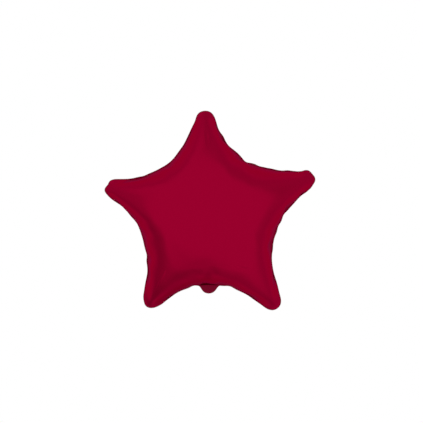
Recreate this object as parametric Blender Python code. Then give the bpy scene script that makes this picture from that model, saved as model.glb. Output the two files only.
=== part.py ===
"""Five-armed star balloon of metallised film, filled and floating upright.

Metres, +Z up. The star stands in the XZ plane and its front faces -Y. The origin is the middle
of the tail tab under the star, where the ribbon is tied.
"""

import math

import bmesh
import bpy
import numpy as np
from mathutils import Matrix

# Rim of the filled star. Arms and notches are counted anticlockwise from the top arm, seen from the front.
ARM_REACHES = (0.2170, 0.2225, 0.2197, 0.2217, 0.2220)
ARM_LEANS_DEG = (3.8, 1.1, -1.0, 0.0, 4.5)
ARM_TIP_RADIUS = 0.0195
NOTCH_REACHES = (0.1418, 0.1450, 0.1325, 0.1300, 0.1335)

# How the rim leaves plain arcs on the two sides of each notch: how far the whole side swells out,
# then each gather's distance from the notch, its height and its half length.
NOTCH_SIDES = (
    (
        (0.0045, (0.088, 0.0022, 0.030), (0.048, -0.0012, 0.022), (0.118, 0.0012, 0.016)),
        (0.0019, (0.106, 0.0016, 0.030), (0.134, -0.0023, 0.012), (0.056, -0.0011, 0.012)),
    ),
    (
        (-0.0022, (0.028, -0.0012, 0.030), (0.130, 0.0024, 0.012), (0.060, 0.0011, 0.016)),
        (0.0013, (0.120, -0.0023, 0.016), (0.088, 0.0014, 0.022), (0.060, -0.0009, 0.016)),
    ),
    (
        (-0.0007, (0.096, 0.0017, 0.030), (0.036, -0.0024, 0.014), (0.126, -0.0011, 0.016)),
        (0.0006, (0.036, -0.0029, 0.016), (0.094, 0.0019, 0.030), (0.126, -0.0006, 0.012)),
    ),
    (
        (0.0021, (0.098, 0.0027, 0.030), (0.048, -0.0013, 0.030), (0.130, -0.0007, 0.012)),
        (0.0005, (0.132, -0.0022, 0.012), (0.048, -0.0018, 0.012), (0.078, 0.0009, 0.022)),
    ),
    (
        (0.0065, (0.014, 0.0028, 0.016), (0.092, 0.0016, 0.022), (0.066, -0.0013, 0.022)),
        (0.0010, (0.026, 0.0024, 0.022), (0.054, -0.0013, 0.016), (0.088, -0.0011, 0.016)),
    ),
)

# The two films puff out between the welds, and the welds' gathers run a short way into them.
PUFF = 0.0945
ROUNDING = 0.20
GATHER_PITCH = 0.0280
GATHER_HEIGHT = 0.0012
GATHER_LENGTH = 0.0450
GATHER_SPREAD = 0.0480

# Flat weld round the edge, and the tail tab that holds the filling valve.
WELD_WIDTH = 0.0050
WELD_THICKNESS = 0.0010
TAB_WIDTH = 0.0340
TAB_LENGTH = 0.0130
TAB_THICKNESS = 0.0012
TAB_TUCK = 0.0020
TAB_LEFT_OF_CENTRE = 0.0070

# Resolution of the faceted solid.
TIP_POINTS = 8
NOTCH_POINTS = 33
DOME_RINGS = 8
TAB_POINTS = 20
MEMBRANE_WAVES = 24
MERGE_WITHIN = 0.00001

FILM_RED = (0.3185, 0.0004, 0.0262, 1.0)

ARMS = len(ARM_REACHES)
BOTTOM_NOTCH = ARMS // 2
STAR_CENTRE = (TAB_LEFT_OF_CENTRE, 0, NOTCH_REACHES[BOTTOM_NOTCH] + TAB_LENGTH / 2)


def clear_scene():
    for obj in list(bpy.data.objects):
        bpy.data.objects.remove(obj, do_unlink=True)


def new_collection(name):
    collection = bpy.data.collections.new(name)
    bpy.context.scene.collection.children.link(collection)
    return collection


def film_material():
    """Satin dark red film with an aluminium layer under the colour."""
    material = bpy.data.materials.new("red_metallised_film")
    material.use_nodes = True
    shader = material.node_tree.nodes["Principled BSDF"]
    shader.inputs["Base Color"].default_value = FILM_RED
    shader.inputs["Metallic"].default_value = 0.85
    shader.inputs["Roughness"].default_value = 0.38
    return material


def tip_centres():
    """Centres of the round arm ends, on the plane of the star."""
    turns = [math.radians(90 + 360 * arm / ARMS + lean) for arm, lean in enumerate(ARM_LEANS_DEG)]
    directions = np.array([(math.cos(turn), math.sin(turn)) for turn in turns])
    return directions * (np.array(ARM_REACHES)[:, None] - ARM_TIP_RADIUS)


def notch_circle(tip_a, tip_b, reach):
    """Centre and radius of the hollow arc that touches two arm ends and comes in to the notch.

    The distances from its centre to both tip centres and to the star's centre each leave out or
    add one known length, which makes the centre linear in the radius and the radius a square root.
    """
    tips = np.array([tip_a, tip_b])
    fixed = np.linalg.solve(tips, ((tips**2).sum(axis=1) + reach**2 - ARM_TIP_RADIUS**2) / 2)
    slope = np.linalg.solve(tips, np.full(2, reach - ARM_TIP_RADIUS))
    roots = np.roots([slope @ slope - 1, 2 * (fixed @ slope - reach), fixed @ fixed - reach**2])
    radius = min(root.real for root in roots if root.real > 0)
    return fixed + slope * radius, radius


def turn_between(start, end, clockwise):
    """Angles of two arms from one centre, with the second brought past the first in that sense."""
    first = math.atan2(start[1], start[0])
    second = math.atan2(end[1], end[0])
    if clockwise and second > first:
        second -= 2 * math.pi
    if not clockwise and second < first:
        second += 2 * math.pi
    return first, second


def hump(place, middle, half_length):
    """A smooth rise from 0 to 1 and back, round a place along the rim."""
    offset = min(1.0, abs(place - middle) / half_length)
    return (1 + math.cos(math.pi * offset)) / 2


def rim_move(side, place, arc_length):
    """How far the rim lies outside its plain arc, at a place measured along one side from the notch."""
    swell, *gathers = side
    moved = swell * math.sin(math.pi * min(1.0, place / arc_length)) ** 2
    return moved + sum(height * hump(place, middle, half_length) for middle, height, half_length in gathers)


def star_outlines():
    """Matching points of the rim and of the weld's inner edge, with the gather wave at each."""
    tips = tip_centres()
    notches = [notch_circle(tips[i], tips[(i + 1) % ARMS], NOTCH_REACHES[i]) for i in range(ARMS)]
    arc_lengths = []
    for notch, (hollow, radius) in enumerate(notches):
        first, middle = turn_between(tips[notch] - hollow, -hollow, clockwise=True)
        start, last = turn_between(-hollow, tips[(notch + 1) % ARMS] - hollow, clockwise=True)
        arc_lengths.append((radius * (first - middle), radius * (start - last)))
    rim, weld, waves = [], [], []
    for arm in range(ARMS):
        before, (after, hollow) = notches[arm - 1][0], notches[arm]
        tip, next_tip = tips[arm], tips[(arm + 1) % ARMS]
        first, last = turn_between(before - tip, after - tip, clockwise=False)
        for step in range(TIP_POINTS):
            share = step / TIP_POINTS
            turn = first + (last - first) * share
            out = np.array([math.cos(turn), math.sin(turn)])
            notch, side = (arm - 1, 1) if share < 0.5 else (arm, 0)
            round_the_end = ARM_TIP_RADIUS * (last - first) * min(share, 1 - share)
            arc_length = arc_lengths[notch][side]
            moved = rim_move(NOTCH_SIDES[notch][side], arc_length + round_the_end, arc_length)
            rim.append(tip + out * (ARM_TIP_RADIUS + moved))
            weld.append(tip + out * (ARM_TIP_RADIUS + moved - WELD_WIDTH))
            waves.append(0.0)
        first, last = turn_between(tip - after, next_tip - after, clockwise=True)
        for step in range(NOTCH_POINTS):
            turn = first + (last - first) * step / NOTCH_POINTS
            inward = np.array([math.cos(turn), math.sin(turn)])
            along = hollow * (first - turn) - arc_lengths[arm][0]
            side = 0 if along < 0 else 1
            wave = -math.cos(2 * math.pi * along / GATHER_PITCH) * math.exp(-((along / GATHER_SPREAD) ** 2))
            pinch = hollow - rim_move(NOTCH_SIDES[arm][side], abs(along), arc_lengths[arm][side])
            rim.append(after + inward * pinch)
            weld.append(after + inward * (pinch + WELD_WIDTH))
            waves.append(wave)
    return np.array(rim), np.array(weld), np.array(waves)


def membrane(weld):
    """A function for the height of a film blown up inside the weld, as a share of the full puff.

    It is the soap film over the outline, a bowl plus smooth waves that bring it to zero along the
    weld, rounded from a bowl into a taut cushion that rises steeply from the weld.
    """
    orders = np.arange(1, MEMBRANE_WAVES + 1)
    widest = max(ARM_REACHES)

    def terms(points):
        radius = np.hypot(points[:, 0], points[:, 1])[:, None] / widest
        turn = np.arctan2(points[:, 1], points[:, 0])[:, None]
        growth = radius**orders
        return np.hstack([np.ones_like(radius), growth * np.cos(orders * turn), growth * np.sin(orders * turn)])

    def bowl(points):
        return (points**2).sum(axis=1) / widest**2 / 4

    waves = np.linalg.lstsq(terms(weld), bowl(weld), rcond=1e-10)[0]

    def height(points):
        film = np.clip((terms(points) @ waves - bowl(points)) / waves[0], 0.0, 1.0)
        return np.sqrt(film * (1 + ROUNDING * (1 - film)))

    return height


def star_layers():
    """Rings of points from the middle of the front, over the rim, to the middle of the back."""
    rim, weld, waves = star_outlines()
    height = membrane(weld)
    half_weld = WELD_THICKNESS / 2
    front = []
    for ring in range(DOME_RINGS + 1):
        share = 1 - (1 - ring / DOME_RINGS) ** 2
        flat = weld * share
        inset = np.linalg.norm(weld, axis=1) * (1 - share)
        fade = np.where(inset < GATHER_LENGTH, np.sin(math.pi * inset / GATHER_LENGTH), 0.0)
        puff = height(flat) * (PUFF - half_weld) + half_weld
        puff = np.maximum(puff + GATHER_HEIGHT * waves * fade, half_weld)
        if ring == DOME_RINGS:
            puff = np.full(len(flat), half_weld)
        front.append(np.column_stack([flat[:, 0], -puff, flat[:, 1]]))
    front.append(np.column_stack([rim[:, 0], np.full(len(rim), -half_weld), rim[:, 1]]))
    back = [layer * (1, -1, 1) for layer in reversed(front)]
    return front + back


def star_solid(collection):
    """The bag and its weld: a sphere whose rings are laid out on the star."""
    layers = star_layers()
    segments = len(layers[0])
    spans = len(layers) - 1
    mesh = bpy.data.meshes.new("foil_balloon")
    shape = bmesh.new()
    bmesh.ops.create_uvsphere(shape, u_segments=segments, v_segments=spans, radius=1.0)
    for vertex in shape.verts:
        north = math.acos(max(-1.0, min(1.0, vertex.co.z)))
        ring = round(north / math.pi * spans)
        turn = math.atan2(vertex.co.y, vertex.co.x) / (2 * math.pi)
        vertex.co = layers[ring][round(turn * segments) % segments]
    bmesh.ops.recalc_face_normals(shape, faces=shape.faces)
    shape.to_mesh(mesh)
    shape.free()
    mesh.transform(Matrix.Translation(STAR_CENTRE))
    mesh.shade_smooth()
    star = bpy.data.objects.new("foil_balloon", mesh)
    collection.objects.link(star)
    return star


def tab_solid(collection):
    """The half-round tail tab, a flat plate that runs up through the weld."""
    half = TAB_WIDTH / 2
    edge = -NOTCH_REACHES[BOTTOM_NOTCH]
    turns = [math.pi * (1 + step / TAB_POINTS) for step in range(TAB_POINTS + 1)]
    middle = -TAB_LEFT_OF_CENTRE
    points = [(middle + half * math.cos(turn), edge + TAB_LENGTH * math.sin(turn)) for turn in turns]
    top = edge + WELD_WIDTH + TAB_TUCK
    points += [(middle + half, top), (middle - half, top)]
    curve = bpy.data.curves.new("tail_tab", "CURVE")
    curve.dimensions = "2D"
    curve.fill_mode = "BOTH"
    curve.extrude = TAB_THICKNESS / 2
    spline = curve.splines.new("POLY")
    spline.points.add(len(points) - 1)
    for point, (x, y) in zip(spline.points, points):
        point.co = (x, y, 0, 1)
    spline.use_cyclic_u = True
    drawn = bpy.data.objects.new("tail_tab_outline", curve)
    collection.objects.link(drawn)
    drawn.rotation_euler = (math.pi / 2, 0, 0)
    drawn.location = STAR_CENTRE
    bpy.context.view_layer.update()
    evaluated = drawn.evaluated_get(bpy.context.evaluated_depsgraph_get())
    mesh = bpy.data.meshes.new_from_object(evaluated)
    shape = bmesh.new()
    shape.from_mesh(mesh)
    bmesh.ops.remove_doubles(shape, verts=shape.verts, dist=MERGE_WITHIN)
    bmesh.ops.recalc_face_normals(shape, faces=shape.faces)
    shape.to_mesh(mesh)
    shape.free()
    tab = bpy.data.objects.new("tail_tab", mesh)
    tab.matrix_world = drawn.matrix_world
    collection.objects.link(tab)
    bpy.data.objects.remove(drawn, do_unlink=True)
    tab.hide_render = True
    tab.display_type = "WIRE"
    return tab


def main():
    clear_scene()
    balloon = new_collection("star_foil_balloon")
    joined = new_collection("shapes_joined_in")
    star = star_solid(balloon)
    union = star.modifiers.new("tail_tab", "BOOLEAN")
    union.operation = "UNION"
    union.solver = "EXACT"
    union.object = tab_solid(joined)
    star.data.materials.append(film_material())


main()
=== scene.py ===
"""Looks of the filled star balloon: its inflated film, the camera, the floor and the light.

Metres, +Z up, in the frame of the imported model. The front of the star faces -Y.
"""

import math

import bmesh
import bpy
import numpy as np
from mathutils import Matrix, Vector
from mathutils.geometry import delaunay_2d_cdt


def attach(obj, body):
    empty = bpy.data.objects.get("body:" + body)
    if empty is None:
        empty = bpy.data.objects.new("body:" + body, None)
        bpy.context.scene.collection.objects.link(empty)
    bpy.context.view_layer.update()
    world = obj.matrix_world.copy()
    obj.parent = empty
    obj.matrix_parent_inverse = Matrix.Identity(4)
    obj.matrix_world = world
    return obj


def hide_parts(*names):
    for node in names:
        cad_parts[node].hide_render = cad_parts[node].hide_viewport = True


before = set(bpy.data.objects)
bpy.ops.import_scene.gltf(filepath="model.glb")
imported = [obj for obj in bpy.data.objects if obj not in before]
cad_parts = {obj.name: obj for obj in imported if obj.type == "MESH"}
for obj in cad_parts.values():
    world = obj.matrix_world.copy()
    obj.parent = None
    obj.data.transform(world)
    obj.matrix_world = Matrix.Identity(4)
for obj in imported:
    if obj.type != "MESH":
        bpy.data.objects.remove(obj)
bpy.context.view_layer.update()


# Camera: straight in front of the star, far off with a long lens, so that its edge is seen square on.
# The photograph is 423 pixels across and shows 2 mm of the star's plane in each of them.

PICTURE_PIXELS = 423
METRES_PER_PIXEL = 0.0020
STAR_CENTRE_PIXEL = (212.3, 218.9)
LENS_MM = 100

TAB_LEFT_OF_CENTRE = 0.0070
STAR_ABOVE_TAB = 0.1390
STAR_CENTRE = Vector((TAB_LEFT_OF_CENTRE, 0, STAR_ABOVE_TAB))

camera_data = bpy.data.cameras.new("camera")
camera_data.lens = LENS_MM
camera = bpy.data.objects.new("camera", camera_data)
bpy.context.scene.collection.objects.link(camera)
across = PICTURE_PIXELS * METRES_PER_PIXEL
right_of_middle = (STAR_CENTRE_PIXEL[0] - PICTURE_PIXELS / 2) * METRES_PER_PIXEL
below_middle = (STAR_CENTRE_PIXEL[1] - PICTURE_PIXELS / 2) * METRES_PER_PIXEL
distance = across * LENS_MM / camera_data.sensor_width
camera.location = STAR_CENTRE + Vector((-right_of_middle, -distance, below_middle))
camera.rotation_euler = (math.pi / 2, 0, 0)
bpy.context.scene.camera = camera
bpy.context.scene.view_settings.view_transform = "Standard"


# Light: a white studio. Film that faces the camera mirrors plain white. Film that turns away mirrors a
# soft grey dome of lit cloth round the sides and back. A few places of it are a little darker or
# lighter, and they draw the soft bands along the arms.

DOME_RADIUS = 3.0
DOME_SEGMENTS = 120
DOME_RINGS = 90
DOME_EDGE_DEG = 26
SIDES_START_DEG = 62
SIDES_LEVEL = 0.78
BACK_START_DEG = 98
BACK_LEVEL = 0.89
FADE_DEG = 6
ROOM_LEVEL = 0.95

# Each shade: its turn from the star's right towards its top, its angle off the line to the camera,
# half its width and height as seen from the star, all in degrees, then the share of light that it
# takes. Less than none is taken where the dome is lighter.
SHADES = (
    (232, 83, 32, 18, 0.34),
    (197, 88, 10, 18, 0.12),
    (264, 50, 22, 24, 0.15),
    (238, 46, 20, 12, 0.10),
    (294, 122, 28, 38, 0.30),
    (236, 130, 32, 26, 0.15),
    (28, 66, 24, 9, 0.10),
    (82, 88, 14, 32, 0.06),
    (184, 104, 14, 14, 0.14),
    (128, 68, 26, 20, -0.28),
    (310, 66, 42, 12, -0.16),
    (60, 62, 16, 10, -0.15),
)


def studio_world():
    """White to the camera and in reflections, and even grey-white light on everything else."""
    world = bpy.data.worlds.new("white_studio")
    world.use_nodes = True
    nodes, links = world.node_tree.nodes, world.node_tree.links
    nodes.clear()
    path = nodes.new("ShaderNodeLightPath")
    seen = nodes.new("ShaderNodeMath")
    seen.operation = "MAXIMUM"
    links.new(path.outputs["Is Camera Ray"], seen.inputs[0])
    links.new(path.outputs["Is Glossy Ray"], seen.inputs[1])
    seen_through = nodes.new("ShaderNodeMath")
    seen_through.operation = "MAXIMUM"
    links.new(seen.outputs[0], seen_through.inputs[0])
    links.new(path.outputs["Is Transmission Ray"], seen_through.inputs[1])
    room = nodes.new("ShaderNodeBackground")
    room.inputs["Color"].default_value = (ROOM_LEVEL, ROOM_LEVEL, ROOM_LEVEL, 1)
    white = nodes.new("ShaderNodeBackground")
    white.inputs["Color"].default_value = (1, 1, 1, 1)
    mixed = nodes.new("ShaderNodeMixShader")
    links.new(seen_through.outputs[0], mixed.inputs["Fac"])
    links.new(room.outputs[0], mixed.inputs[1])
    links.new(white.outputs[0], mixed.inputs[2])
    output = nodes.new("ShaderNodeOutputWorld")
    links.new(mixed.outputs[0], output.inputs["Surface"])
    return world


def soft_step(values, start):
    """From 0 to 1 over a fade whose middle lies at the start."""
    share = np.clip((values - start) / FADE_DEG / 2 + 0.5, 0, 1)
    return share * share * (3 - 2 * share)


def dome_levels(points):
    """How bright the dome is at each point, from the way that point lies as seen from the star."""
    towards = points / np.linalg.norm(points, axis=1, keepdims=True)
    off_camera = np.degrees(np.arccos(-towards[:, 1]))
    turn = np.degrees(np.arctan2(towards[:, 2], towards[:, 0]))
    levels = 1 + (SIDES_LEVEL - 1) * soft_step(off_camera, SIDES_START_DEG)
    levels += (BACK_LEVEL - SIDES_LEVEL) * soft_step(off_camera, BACK_START_DEG)
    for shade_turn, shade_off, half_width, half_height, taken in SHADES:
        sideways = ((turn - shade_turn + 180) % 360 - 180) / half_width
        along = (off_camera - shade_off) / half_height
        levels *= 1 - taken * np.exp(-((sideways**2 + along**2) ** 2))
    return np.minimum(levels, 1)


def glowing_material():
    """A cloth lit evenly from behind, with the brightness that its points carry."""
    material = bpy.data.materials.new("lit_cloth")
    material.use_nodes = True
    nodes, links = material.node_tree.nodes, material.node_tree.links
    nodes.clear()
    level = nodes.new("ShaderNodeAttribute")
    level.attribute_name = "level"
    emission = nodes.new("ShaderNodeEmission")
    links.new(level.outputs["Fac"], emission.inputs["Color"])
    output = nodes.new("ShaderNodeOutputMaterial")
    links.new(emission.outputs[0], output.inputs["Surface"])
    return material


def light_dome():
    """A sphere round the star, open towards the camera, and out of its sight."""
    mesh = bpy.data.meshes.new("light_dome")
    shape = bmesh.new()
    bmesh.ops.create_uvsphere(
        shape, u_segments=DOME_SEGMENTS, v_segments=DOME_RINGS, radius=DOME_RADIUS
    )
    bmesh.ops.rotate(shape, verts=shape.verts, matrix=Matrix.Rotation(math.pi / 2, 3, "X"))
    edge = -DOME_RADIUS * math.cos(math.radians(DOME_EDGE_DEG))
    front = [vertex for vertex in shape.verts if vertex.co.y < edge]
    bmesh.ops.delete(shape, geom=front, context="VERTS")
    shape.to_mesh(mesh)
    shape.free()
    points = np.array([vertex.co[:] for vertex in mesh.vertices])
    level = mesh.attributes.new("level", "FLOAT", "POINT")
    level.data.foreach_set("value", dome_levels(points))
    mesh.transform(Matrix.Translation(STAR_CENTRE))
    mesh.materials.append(glowing_material())
    dome = bpy.data.objects.new("light_dome", mesh)
    bpy.context.scene.collection.objects.link(dome)
    dome.visible_camera = False
    dome.visible_shadow = False


bpy.context.scene.world = studio_world()
light_dome()


# Floor: a plain pale studio floor a short way under the floating balloon, small enough to stay out
# of the straight front view. It glows a little to the camera, and so looks as white as the room.

FLOOR_BELOW_TAB = 0.60
FLOOR_SIDE = 2.4
FLOOR_LEVEL = 0.9
FLOOR_ROUGHNESS = 0.9
FLOOR_GLOW = 0.20


def floor_material():
    """Pale matt paint, with a glow that only the camera sees."""
    material = bpy.data.materials.new("pale_floor")
    material.use_nodes = True
    nodes, links = material.node_tree.nodes, material.node_tree.links
    shader = nodes["Principled BSDF"]
    shader.inputs["Base Color"].default_value = (FLOOR_LEVEL, FLOOR_LEVEL, FLOOR_LEVEL, 1)
    shader.inputs["Roughness"].default_value = FLOOR_ROUGHNESS
    shader.inputs["Emission Color"].default_value = (1, 1, 1, 1)
    path = nodes.new("ShaderNodeLightPath")
    glow = nodes.new("ShaderNodeMath")
    glow.operation = "MULTIPLY"
    glow.inputs[1].default_value = FLOOR_GLOW
    links.new(path.outputs["Is Camera Ray"], glow.inputs[0])
    links.new(glow.outputs[0], shader.inputs["Emission Strength"])
    return material


bpy.ops.mesh.primitive_plane_add(size=FLOOR_SIDE, location=(0, 0, -FLOOR_BELOW_TAB))
floor = bpy.context.object
floor.name = "studio_floor"
floor.data.materials.append(floor_material())
floor.visible_glossy = False


# Balloon: two star-shaped sheets of thin metallised film, printed dark red and heat welded together
# all round. Film bends but hardly stretches, so gas draws the edge in and gathers it between the arms.
# The two sheets run on past the bottom notch as a tail tab, which the ribbon is tied to.

# The flat cut, and the rim of the filled star. Arms and notches are counted anticlockwise from the
# top arm, seen from the front.
ARM_LEANS_DEG = (3.8, 1.1, -1.0, 0.0, 4.5)
FLAT_REACHES = (0.2430, 0.2486, 0.2440, 0.2458, 0.2475)
FLAT_NOTCHES = (0.1960, 0.1990, 0.1900, 0.1890, 0.1900)
FLAT_TIP_RADIUS = 0.0340
FILLED_REACHES = (0.2170, 0.2225, 0.2197, 0.2217, 0.2220)
FILLED_NOTCHES = (0.1418, 0.1450, 0.1325, 0.1300, 0.1335)
FILLED_TIP_RADIUS = 0.0195
ARMS = len(FLAT_REACHES)
BOTTOM_NOTCH = 2
HOLLOW_POINTS = 400
END_POINTS = 120

# How the filled rim leaves plain arcs, for the two sides of each notch: how far the whole side swells
# out, then each gather's distance from the notch, its height and its half length.
SIDES = (
    (0.0045, (0.088, 0.0022, 0.030), (0.048, -0.0012, 0.022), (0.118, 0.0012, 0.016)),
    (0.0019, (0.106, 0.0016, 0.030), (0.134, -0.0025, 0.009), (0.056, -0.0012, 0.012),
     (0.020, 0.0006, 0.030), (0.126, 0.0007, 0.009)),
    (-0.0022, (0.028, -0.0012, 0.030), (0.130, 0.0026, 0.009), (0.060, 0.0011, 0.016),
     (0.102, 0.0011, 0.016), (0.038, -0.0007, 0.009)),
    (0.0013, (0.120, -0.0023, 0.016), (0.088, 0.0014, 0.022), (0.060, -0.0009, 0.016),
     (0.010, 0.0009, 0.016), (0.028, -0.0008, 0.009), (0.040, 0.0008, 0.009)),
    (-0.0007, (0.096, 0.0017, 0.030), (0.036, -0.0026, 0.012), (0.126, -0.0011, 0.016),
     (0.108, 0.0007, 0.009)),
    (0.0006, (0.036, -0.0029, 0.016), (0.094, 0.0019, 0.030), (0.126, -0.0006, 0.012),
     (0.064, 0.0005, 0.016)),
    (0.0021, (0.098, 0.0027, 0.030), (0.048, -0.0013, 0.030), (0.130, -0.0007, 0.012),
     (0.026, 0.0007, 0.009)),
    (0.0005, (0.132, -0.0024, 0.012), (0.048, -0.0019, 0.012), (0.078, 0.0009, 0.022),
     (0.110, 0.0011, 0.012), (0.010, 0.0010, 0.012), (0.022, -0.0007, 0.009),
     (0.032, 0.0007, 0.009)),
    (0.0065, (0.014, 0.0030, 0.016), (0.092, 0.0016, 0.022), (0.066, -0.0014, 0.022),
     (0.124, 0.0012, 0.012), (0.138, -0.0016, 0.009), (0.032, 0.0009, 0.012),
     (0.084, 0.0007, 0.009)),
    (0.0010, (0.026, 0.0024, 0.022), (0.054, -0.0014, 0.016), (0.088, -0.0012, 0.016),
     (0.004, -0.0014, 0.009), (0.118, -0.0007, 0.012), (0.072, 0.0008, 0.009)),
)

WELD_WIDTH = 0.0014
WELD_THICKNESS = 0.0004
WELD_ROWS = 3
TAB_HALF_WIDTH = 0.0170
TAB_LENGTH = 0.0176
TAB_ALONG_RIM = -0.0055
TAB_CURL_DEG = 12


def tip_centres(reaches, tip_radius):
    """Middles of the round arm ends, across and up from the star's centre."""
    turns = [math.radians(90 + 360 * arm / ARMS + lean) for arm, lean in enumerate(ARM_LEANS_DEG)]
    directions = np.array([(math.cos(turn), math.sin(turn)) for turn in turns])
    return directions * (np.array(reaches)[:, None] - tip_radius)


def notch_circle(tip_a, tip_b, reach, tip_radius):
    """The hollow arc that touches two round arm ends and comes in to the notch."""
    tips = np.array([tip_a, tip_b])
    fixed = np.linalg.solve(tips, ((tips**2).sum(axis=1) + reach**2 - tip_radius**2) / 2)
    slope = np.linalg.solve(tips, np.full(2, reach - tip_radius))
    roots = np.roots([slope @ slope - 1, 2 * (fixed @ slope - reach), fixed @ fixed - reach**2])
    radius = min(root.real for root in roots if root.real > 0)
    return fixed + slope * radius, radius


def swept(start, end, count):
    """Unit directions that turn the short way round from one vector to another."""
    first = math.atan2(start[1], start[0])
    sweep = (math.atan2(end[1], end[0]) - first + math.pi) % (2 * math.pi) - math.pi
    turns = first + sweep * np.linspace(0, 1, count)
    return np.column_stack([np.cos(turns), np.sin(turns)])


def star_sides(reaches, notches, tip_radius):
    """Fine points and outward directions of the ten half sides, each from its notch to an arm's end."""
    tips = tip_centres(reaches, tip_radius)
    sides = []
    for notch in range(ARMS):
        arms = (tips[notch], tips[(notch + 1) % ARMS])
        centre, radius = notch_circle(*arms, notches[notch], tip_radius)
        for tip in arms:
            hollow = swept(-centre, tip - centre, HOLLOW_POINTS)
            end = swept(centre - tip, tip, END_POINTS)[1:]
            points = np.concatenate([centre + hollow * radius, tip + end * tip_radius])
            sides.append((points, np.concatenate([-hollow, end])))
    return sides


def lengths_along(points):
    return np.concatenate([[0], np.cumsum(np.linalg.norm(np.diff(points, axis=0), axis=1))])


def points_at(wanted, places, points):
    """Points at the wanted distances along a line whose own points lie at the given places."""
    return np.column_stack([np.interp(wanted, places, points[:, axis]) for axis in range(2)])


def rim_moves(number, places):
    """How far one half side of the filled rim swells and gathers outward at each place along it."""
    swell, *gathers = SIDES[number]
    arc_length = places[HOLLOW_POINTS - 1]
    moves = np.where(places < arc_length, swell * np.sin(np.pi * places / arc_length) ** 2, 0)
    for middle, height, half_length in gathers:
        off = places - middle
        hump = (1 + np.cos(np.pi * off / half_length)) / 2
        moves = moves + height * np.where(abs(off) < half_length, hump, 0)
    return moves


# Film is drawn in most at a notch and less with each step of GATHER_SPREAD from it. A share of what is
# drawn in goes into waves across the weld. Each notch has its own pitch, and its waves start elsewhere.
FILM_STEP = 0.0050
FEWEST_STEPS = 8
GATHER_SPREAD = 0.070
GATHER_SHARE = 0.3
MOST_DRAWN_IN = 0.6
WAVE_PITCH = 0.028
NOTCH_PITCHES = (1, 1.12, 0.94, 1.06, 0.9)
WAVE_START = 0.6
NOTCH_WAVE_START = 1.3


def edge_loops():
    """The weld's inner edge on the flat cut, then the same points and the rim on the filled star.

    Each rim point also says how far the tail tab runs on from there, as a share of its length.
    """
    flat_sides = star_sides(FLAT_REACHES, FLAT_NOTCHES, FLAT_TIP_RADIUS)
    filled_sides = star_sides(FILLED_REACHES, FILLED_NOTCHES, FILLED_TIP_RADIUS)
    flat_loop, filled_loop, rim_loop = [], [], []
    for number, ((flat, flat_out), (rim, rim_out)) in enumerate(zip(flat_sides, filled_sides)):
        notch = number // 2
        before = number % 2 == 0
        sign = -1 if before else 1
        places = lengths_along(rim)
        across_tab = (sign * places - TAB_ALONG_RIM) / TAB_HALF_WIDTH
        tab = np.sqrt(np.maximum(1 - across_tab**2, 0)) * (notch == BOTTOM_NOTCH)
        rim = rim + rim_out * rim_moves(number, places)[:, None]
        weld = rim - rim_out * WELD_WIDTH
        flat = flat - flat_out * WELD_WIDTH

        flat_places = lengths_along(flat)
        weld_places = lengths_along(weld)
        count = max(FEWEST_STEPS, round(flat_places[-1] / FILM_STEP))
        steps = np.linspace(0, flat_places[-1], count + 1)
        pulls = np.exp(-((flat_places[1:] / GATHER_SPREAD) ** 2)) * np.diff(flat_places)
        pulled = np.concatenate([[0], np.cumsum(pulls)])
        most = (flat_places[-1] - weld_places[-1]) / pulled[-1]
        filled_steps = steps - most * np.interp(steps, flat_places, pulled)
        drawn_in = np.clip(most * np.exp(-((steps / GATHER_SPREAD) ** 2)), 0, MOST_DRAWN_IN)
        wave = GATHER_SHARE * WAVE_PITCH / math.pi * np.sqrt(drawn_in * (1 - drawn_in))
        pitch = WAVE_PITCH * NOTCH_PITCHES[notch]
        turns = 2 * np.pi * sign * steps / pitch + NOTCH_WAVE_START * notch + WAVE_START
        wave = wave * np.sin(turns)

        weld_at = points_at(filled_steps, weld_places, weld)
        rim_at = points_at(filled_steps, weld_places, rim)
        tab_at = np.interp(filled_steps, weld_places, tab)
        order = slice(None, 0, -1) if before else slice(None, -1)
        flat_loop.append(points_at(steps, flat_places, flat)[order])
        filled_loop.append(np.column_stack([weld_at[:, 0], wave, weld_at[:, 1]])[order])
        rim_loop.append(np.column_stack([rim_at[:, 0], wave, rim_at[:, 1], tab_at])[order])
    return np.concatenate(flat_loop), np.concatenate(filled_loop), np.concatenate(rim_loop)


def inside(points, loop):
    """Which points a closed loop holds, by counting its crossings to the right of each."""
    here = loop[None]
    there = np.roll(loop, -1, axis=0)[None]
    x, y = points[:, None, 0], points[:, None, 1]
    crosses = (here[..., 1] > y) != (there[..., 1] > y)
    rise = np.where(crosses, there[..., 1] - here[..., 1], 1.0)
    reach = here[..., 0] + (there[..., 0] - here[..., 0]) * (y - here[..., 1]) / rise
    return (crosses & (x < reach)).sum(axis=1) % 2 == 1


def off_loop(points, loop):
    """Distance of each point from each stretch of a loop, and how far along it the nearest place is."""
    along = np.roll(loop, -1, axis=0) - loop
    share = ((points[:, None] - loop) * along).sum(axis=-1) / (along**2).sum(axis=-1)
    share = np.clip(share, 0, 1)
    away = np.linalg.norm(points[:, None] - loop - share[..., None] * along, axis=-1)
    return away, share


# Points inside the weld lie in rows, each moved a little at random, so that no crease follows a row.
RANDOM_SEED = 3
MOVED_STEPS = 0.08
CLEAR_STEPS = 0.6
SAME_PLACE = 1e-7


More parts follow.
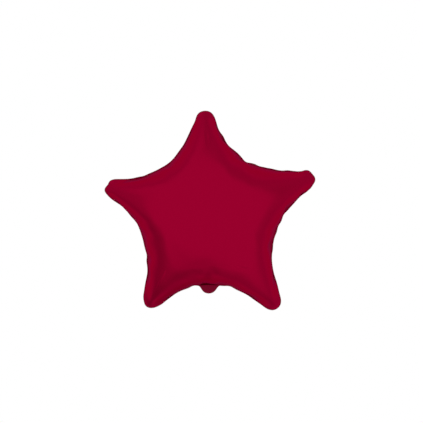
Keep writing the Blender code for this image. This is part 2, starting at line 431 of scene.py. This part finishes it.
def triangulated_film(loop):
    """Flat points and triangles of one sheet inside the weld, the loop's own points first."""
    row_height = FILM_STEP * math.sqrt(3) / 2
    rows = int(max(FLAT_REACHES) / row_height) + 2
    lattice = np.array(
        [
            ((column + 0.5 * (row % 2)) * FILM_STEP, row * row_height)
            for row in range(-rows, rows + 1)
            for column in range(-rows - 2, rows + 3)
        ]
    )
    lattice += np.random.default_rng(RANDOM_SEED).normal(0, FILM_STEP * MOVED_STEPS, lattice.shape)
    away, _ = off_loop(lattice, loop)
    clear = inside(lattice, loop) & (away.min(axis=1) > FILM_STEP * CLEAR_STEPS)
    count = len(loop)
    edges = [(i, (i + 1) % count) for i in range(count)]
    points = [Vector(point) for point in np.concatenate([loop, lattice[clear]])]
    made = delaunay_2d_cdt(points, edges, [], 1, SAME_PLACE)
    return np.array([point[:] for point in made[0]]), np.array(made[2])


# The solver works ten times larger than life. The weld is drawn in over the first frames, while the
# gas presses evenly on all the film, which then has the rest of the frames to settle.
SOLVER_SCALE = 10
INFLATION_FRAMES = 50
DRAW_IN_FRAMES = 30
START_LIFT_STEPS = 0.15


def inflate(points, faces, filled_loop):
    """Where the film comes to rest once gas has filled it and the weld has been drawn in."""
    mesh = bpy.data.meshes.new("film_in_solver")
    mesh.from_pydata((points * SOLVER_SCALE).tolist(), [], faces.tolist())
    film = bpy.data.objects.new("film_in_solver", mesh)
    bpy.context.scene.collection.objects.link(film)
    film.shape_key_add(name="flat")
    drawn_in = film.shape_key_add(name="drawn_in")
    for number, place in enumerate(filled_loop):
        drawn_in.data[number].co = Vector(place) * SOLVER_SCALE
    drawn_in.value = 0
    drawn_in.keyframe_insert("value", frame=1)
    drawn_in.value = 1
    drawn_in.keyframe_insert("value", frame=DRAW_IN_FRAMES)
    weld = film.vertex_groups.new(name="weld")
    weld.add(list(range(len(filled_loop))), 1.0, "REPLACE")
    cloth = film.modifiers.new("cloth", "CLOTH")
    settings = cloth.settings
    settings.quality = 8
    settings.mass = 0.3
    settings.air_damping = 3
    settings.tension_stiffness = 100
    settings.compression_stiffness = 100
    settings.shear_stiffness = 50
    settings.bending_stiffness = 1.0
    settings.tension_damping = 5
    settings.compression_damping = 5
    settings.shear_damping = 5
    settings.bending_damping = 0.5
    settings.use_pressure = True
    settings.uniform_pressure_force = 10
    settings.vertex_group_mass = "weld"
    settings.effector_weights.gravity = 0
    cloth.collision_settings.use_collision = False
    cloth.collision_settings.use_self_collision = False
    cloth.point_cache.frame_start = 1
    cloth.point_cache.frame_end = INFLATION_FRAMES
    scene = bpy.context.scene
    scene.frame_end = INFLATION_FRAMES
    for number in range(1, INFLATION_FRAMES + 1):
        scene.frame_set(number)
    settled = film.evaluated_get(bpy.context.evaluated_depsgraph_get()).to_mesh()
    filled = np.empty(len(points) * 3, np.float32)
    settled.vertices.foreach_get("co", filled)
    bpy.data.objects.remove(film, do_unlink=True)
    bpy.data.meshes.remove(mesh)
    scene.frame_set(1)
    return filled.reshape(-1, 3).astype(float) / SOLVER_SCALE


EASING_PASSES = 10


def eased(points, faces, fixed):
    """The film with the solver's fine creases drawn out of it, the weld's points left in place."""
    edges = np.concatenate([faces[:, [0, 1]], faces[:, [1, 2]], faces[:, [2, 0]]])
    edges = np.unique(np.sort(edges, axis=1), axis=0)
    neighbours = np.bincount(edges.ravel(), minlength=len(points))[:, None]
    for _ in range(EASING_PASSES):
        around = np.zeros_like(points)
        np.add.at(around, edges[:, 0], points[edges[:, 1]])
        np.add.at(around, edges[:, 1], points[edges[:, 0]])
        shift = around / neighbours - points
        shift[:fixed] = 0
        points = points + shift / 2
    return points


# Gathers fade away from the weld. Towards the arms' ends they fade too, and end at GATHERS_END from
# the star's centre.
GATHER_REACH = 0.032
GATHERS_END = 0.222
GATHERS_FADE = 0.030


def seam_places(points, loop):
    """For each point of the film: how far round the weld it lies, how far from it, and how gathered."""
    away, share = off_loop(points, loop)
    nearest = away.argmin(axis=1)
    rows = np.arange(len(points))
    away, share = away[rows, nearest], share[rows, nearest]
    lengths = np.linalg.norm(np.roll(loop, -1, axis=0) - loop, axis=1)
    round_the_weld = (np.cumsum(lengths) - lengths)[nearest] + share * lengths[nearest]
    from_centre = np.linalg.norm(loop, axis=1)[nearest]
    near_notch = np.clip((GATHERS_END - from_centre) / GATHERS_FADE, 0, 1)
    gathered = np.exp(-away / GATHER_REACH) * near_notch
    return np.column_stack([round_the_weld, away, gathered])


# Where the front film sags or swells: each place across and up from the star's centre, how deep it
# goes in, or out where that is below nothing, and how far it spreads each way.
DENTS = (
    (-0.105, -0.088, 0.0035, 0.030, 0.034),
    (-0.061, -0.130, 0.0030, 0.028, 0.023),
    (0.053, -0.128, 0.0032, 0.026, 0.022),
    (-0.008, -0.109, -0.0022, 0.022, 0.018),
)
DENT_EDGE = 0.014


def dented(film, away):
    """The front film pushed in a little at each dent, and left as it is at the weld."""
    free = 1 - np.exp(-((away / DENT_EDGE) ** 2))
    film = film.copy()
    for across, up, depth, spread_across, spread_up in DENTS:
        sideways = (film[:, 0] - across) / spread_across
        upward = (film[:, 2] - up) / spread_up
        film[:, 1] += depth * np.exp(-(sideways**2) - upward**2) * free
    return film


def weld_rows(filled_loop, rim_loop):
    """Rows of points from the weld's inner edge out to the rim, or to the end of the tail tab."""
    rim = rim_loop[:, :3]
    tab = rim_loop[:, 3:]
    curl = math.radians(TAB_CURL_DEG)
    outer = rim + tab * TAB_LENGTH * np.array((0, math.sin(curl), -math.cos(curl)))
    return [filled_loop + (outer - filled_loop) * row / WELD_ROWS for row in range(WELD_ROWS + 1)]


def balloon_mesh():
    """The filled balloon as one closed skin: two domes, and both layers of the weld and its tab."""
    flat_loop, filled_loop, rim_loop = edge_loops()
    welded = len(flat_loop)
    flat, triangles = triangulated_film(flat_loop)
    inner = len(flat) - welded
    back = np.concatenate([np.arange(welded), len(flat) + np.arange(inner)])
    lift = np.where(np.arange(len(flat)) < welded, 0, FILM_STEP * START_LIFT_STEPS)
    front_points = np.column_stack([flat[:, 0], -lift, flat[:, 1]])
    points = np.concatenate([front_points, front_points[welded:] * (1, -1, 1)])
    faces = np.concatenate([triangles, back[triangles][:, ::-1]])
    film = eased(inflate(points, faces, filled_loop), faces, welded)
    seam = seam_places(flat[welded:], flat_loop)
    film[welded : len(flat)] = dented(film[welded : len(flat)], seam[:, 1])

    rows = weld_rows(filled_loop, rim_loop)
    half = np.array((0, WELD_THICKNESS / 2, 0))
    front_rows = [row - half for row in rows[:-1]]
    back_rows = [row + half for row in rows[:-1]]
    skin = np.concatenate(front_rows + back_rows + [rows[-1], film[welded:]])
    rim_start = 2 * WELD_ROWS * welded
    film_start = rim_start + welded
    front_starts = [row * welded for row in range(WELD_ROWS)] + [rim_start]
    back_starts = [(WELD_ROWS + row) * welded for row in range(WELD_ROWS)] + [rim_start]
    around = np.arange(welded)
    following = (around + 1) % welded
    front_of = np.concatenate([around, film_start + np.arange(inner)])
    back_of = np.concatenate([back_starts[0] + around, film_start + inner + np.arange(inner)])
    skin_faces = front_of[triangles].tolist() + back_of[triangles][:, ::-1].tolist()
    for row in range(WELD_ROWS):
        for starts, turned in ((front_starts, False), (back_starts, True)):
            here, there = starts[row], starts[row + 1]
            quads = [here + around, there + around, there + following, here + following]
            quads = np.column_stack(quads)
            skin_faces += (quads[:, ::-1] if turned else quads).tolist()
    mesh = bpy.data.meshes.new("balloon_film")
    mesh.from_pydata((skin + np.array(STAR_CENTRE)).tolist(), [], skin_faces)
    mesh.shade_smooth()

    # The mark is 1 on the weld and 0 on the film, and halfway between where they meet.
    mark = np.zeros(len(skin), np.float32)
    mark[:film_start] = 1
    mark[front_of[:welded]] = 0.5
    mark[back_of[:welded]] = 0.5
    mesh.attributes.new("weld", "FLOAT", "POINT").data.foreach_set("value", mark)
    place = np.zeros((len(skin), 3), np.float32)
    place[film_start:] = np.concatenate([seam, seam])
    seam_place = mesh.attributes.new("seam_place", "FLOAT_VECTOR", "POINT")
    seam_place.data.foreach_set("vector", place.ravel())
    ends = np.empty(len(mesh.edges) * 2, np.int32)
    mesh.edges.foreach_get("vertices", ends)
    at_rim = ((ends >= rim_start) & (ends < film_start)).reshape(-1, 2).all(axis=1)
    crease = mesh.attributes.new("crease_edge", "FLOAT", "EDGE")
    crease.data.foreach_set("value", at_rim.astype(np.float32))
    mesh.attributes.new("sharp_edge", "BOOLEAN", "EDGE").data.foreach_set("value", at_rim)
    return mesh


# Red print over bright metal. Seen at a glancing angle it is darker, which gives each arm its dark
# edge. Heights are shares of BUMP_DISTANCE, and noise scales are in waves for each metre.
FILM_RED = (0.3185, 0.0004, 0.0262, 1)
# Darker red on the weld and the tail tab: partly the pressed weld's own duller tone, partly painted
# shade that draws the dark line along the rim.
WELD_RED_WITH_RIM_SHADE = (0.1800, 0.0035, 0.0205, 1)
EDGE_TINT = (0.76, 0.35, 0.48, 1)
GLANCING_SHARE = 0.68
GLANCING_TINT = (1, 1.6, 1.1)
GLANCING_START = 0.60
GLANCING_FULL = 0.84
PRESSED_START = 0.35
PRESSED_FULL = 0.75

FILM_ROUGHNESS = 0.22
CLOUDS_SCALE = 7.0
CLOUDS_ROUGHNESS = 0.05
PRESSED_ROUGHNESS = 0.14

BUMP_STRENGTH = 0.5
BUMP_DISTANCE = 0.0012
CREASE_SCALE = 95.0
CREASE_STRETCH = (1.0, 0.12, 0.0)
CREASE_HEIGHT = 1.6
CRINKLE_SCALE = 30.0
CRINKLE_HEIGHT = 0.30
RIB_SCALE = 900.0
RIB_HEIGHT = 0.25

# Sharp little folds in the film: middle across and up from the tail tab, lean from upright, half
# width, half length and how far it stands out.
FOLDS = (
    (-0.0945, 0.0175, 26, 0.0034, 0.0310, 1.5),
    (-0.0035, 0.3010, -4, 0.0050, 0.0290, -1.0),
    (0.0686, 0.0475, 104, 0.0042, 0.0150, 0.8),
)
THROUGH_FILM = 1000


def film_texture():
    """Node group: how satin the film is, and the height of its fine creases and of the weld's ribs."""
    group = bpy.data.node_groups.new("film_texture", "ShaderNodeTree")
    for name, kind in (("Place", "Vector"), ("Seam Place", "Vector"), ("Weld", "Float")):
        group.interface.new_socket(name, in_out="INPUT", socket_type="NodeSocket" + kind)
    for name in ("Roughness", "Height"):
        group.interface.new_socket(name, in_out="OUTPUT", socket_type="NodeSocketFloat")
    nodes, links = group.nodes, group.links
    given = nodes.new("NodeGroupInput")
    result = nodes.new("NodeGroupOutput")

    def noise(scale, detail, vector):
        texture = nodes.new("ShaderNodeTexNoise")
        texture.inputs["Scale"].default_value = scale
        texture.inputs["Detail"].default_value = detail
        links.new(vector, texture.inputs["Vector"])
        return texture.outputs["Fac"]

    def maths(operation, first, second):
        node = nodes.new("ShaderNodeMath")
        node.operation = operation
        for socket, value in zip(node.inputs, (first, second)):
            if isinstance(value, float):
                socket.default_value = value
            else:
                links.new(value, socket)
        return node.outputs[0]

    def fold(across, up, lean, half_width, half_length, stands_out):
        place = nodes.new("ShaderNodeMapping")
        place.vector_type = "TEXTURE"
        place.inputs["Location"].default_value = (across, 0, up)
        place.inputs["Rotation"].default_value = (0, math.radians(lean), 0)
        place.inputs["Scale"].default_value = (half_width, THROUGH_FILM, half_length)
        links.new(given.outputs["Place"], place.inputs["Vector"])
        off = nodes.new("ShaderNodeVectorMath")
        off.operation = "LENGTH"
        links.new(place.outputs["Vector"], off.inputs[0])
        height = nodes.new("ShaderNodeMapRange")
        height.interpolation_type = "SMOOTHSTEP"
        height.inputs["To Min"].default_value = stands_out
        height.inputs["To Max"].default_value = 0.0
        links.new(off.outputs["Value"], height.inputs["Value"])
        return height.outputs["Result"]

    stretched = nodes.new("ShaderNodeVectorMath")
    stretched.operation = "MULTIPLY"
    stretched.inputs[1].default_value = CREASE_STRETCH
    links.new(given.outputs["Seam Place"], stretched.inputs[0])
    seam = nodes.new("ShaderNodeSeparateXYZ")
    links.new(given.outputs["Seam Place"], seam.inputs[0])
    creases = maths("MULTIPLY", noise(CREASE_SCALE, 3.0, stretched.outputs[0]), seam.outputs["Z"])
    creases = maths("MULTIPLY", creases, CREASE_HEIGHT)
    crinkle = maths("MULTIPLY", noise(CRINKLE_SCALE, 3.0, given.outputs["Place"]), CRINKLE_HEIGHT)
    for row in FOLDS:
        crinkle = maths("ADD", crinkle, fold(*row))
    ribs = maths("MULTIPLY", noise(RIB_SCALE, 1.0, given.outputs["Place"]), given.outputs["Weld"])
    ribs = maths("MULTIPLY", ribs, RIB_HEIGHT)
    links.new(maths("ADD", maths("ADD", creases, crinkle), ribs), result.inputs["Height"])

    clouds = noise(CLOUDS_SCALE, 2.0, given.outputs["Place"])
    clouds = maths("MULTIPLY", clouds, CLOUDS_ROUGHNESS)
    pressed = maths("MULTIPLY", given.outputs["Weld"], PRESSED_ROUGHNESS)
    changes = maths("ADD", clouds, pressed)
    least = FILM_ROUGHNESS - CLOUDS_ROUGHNESS / 2
    links.new(maths("ADD", changes, least), result.inputs["Roughness"])
    return group


def film_material():
    """Dark red print over the bright metal layer, duller where the weld has pressed it, and darker
    there: partly the weld's own tone, partly painted shade along the rim.
    """
    material = bpy.data.materials.new("red_metallised_film")
    material.use_nodes = True
    nodes, links = material.node_tree.nodes, material.node_tree.links

    def ramp(value, start, full):
        node = nodes.new("ShaderNodeMapRange")
        node.interpolation_type = "SMOOTHSTEP"
        node.inputs["From Min"].default_value = start
        node.inputs["From Max"].default_value = full
        links.new(value, node.inputs["Value"])
        return node.outputs["Result"]

    shader = nodes["Principled BSDF"]
    shader.inputs["Metallic"].default_value = 1.0
    shader.inputs["Specular Tint"].default_value = EDGE_TINT
    glancing = nodes.new("ShaderNodeBsdfAnisotropic")
    facing = nodes.new("ShaderNodeLayerWeight")
    facing.inputs["Blend"].default_value = 0.5
    turned_away = ramp(facing.outputs["Facing"], GLANCING_START, GLANCING_FULL)
    surface = nodes.new("ShaderNodeMixShader")
    links.new(turned_away, surface.inputs["Fac"])
    links.new(shader.outputs[0], surface.inputs[1])
    links.new(glancing.outputs[0], surface.inputs[2])
    links.new(surface.outputs[0], nodes["Material Output"].inputs["Surface"])

    place = nodes.new("ShaderNodeTexCoord")
    seam_place = nodes.new("ShaderNodeAttribute")
    seam_place.attribute_name = "seam_place"
    weld = nodes.new("ShaderNodeAttribute")
    weld.attribute_name = "weld"
    pressed = ramp(weld.outputs["Fac"], PRESSED_START, PRESSED_FULL)
    texture = nodes.new("ShaderNodeGroup")
    texture.node_tree = film_texture()
    links.new(place.outputs["Object"], texture.inputs["Place"])
    links.new(seam_place.outputs["Vector"], texture.inputs["Seam Place"])
    links.new(pressed, texture.inputs["Weld"])

    colour = nodes.new("ShaderNodeMix")
    colour.data_type = "RGBA"
    colour.inputs["A"].default_value = FILM_RED
    # The weld and tab take the darker red, which is partly painted rim shade.
    colour.inputs["B"].default_value = WELD_RED_WITH_RIM_SHADE
    links.new(pressed, colour.inputs["Factor"])
    links.new(colour.outputs["Result"], shader.inputs["Base Color"])
    deeper = nodes.new("ShaderNodeMix")
    deeper.data_type = "RGBA"
    deeper.blend_type = "MULTIPLY"
    deeper.inputs["Factor"].default_value = 1.0
    deeper.inputs["B"].default_value = [GLANCING_SHARE * tint for tint in GLANCING_TINT] + [1]
    links.new(colour.outputs["Result"], deeper.inputs["A"])
    links.new(deeper.outputs["Result"], glancing.inputs["Color"])

    bump = nodes.new("ShaderNodeBump")
    bump.inputs["Strength"].default_value = BUMP_STRENGTH
    bump.inputs["Distance"].default_value = BUMP_DISTANCE
    links.new(texture.outputs["Height"], bump.inputs["Height"])
    for finish in (shader, glancing):
        links.new(texture.outputs["Roughness"], finish.inputs["Roughness"])
        links.new(bump.outputs["Normal"], finish.inputs["Normal"])
    return material


balloon = bpy.data.objects.new("balloon_film", balloon_mesh())
bpy.context.scene.collection.objects.link(balloon)
finer = balloon.modifiers.new("finer", "SUBSURF")
finer.levels = 1
finer.render_levels = 1
balloon.data.materials.append(film_material())
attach(balloon, "root")
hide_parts("foil_balloon")
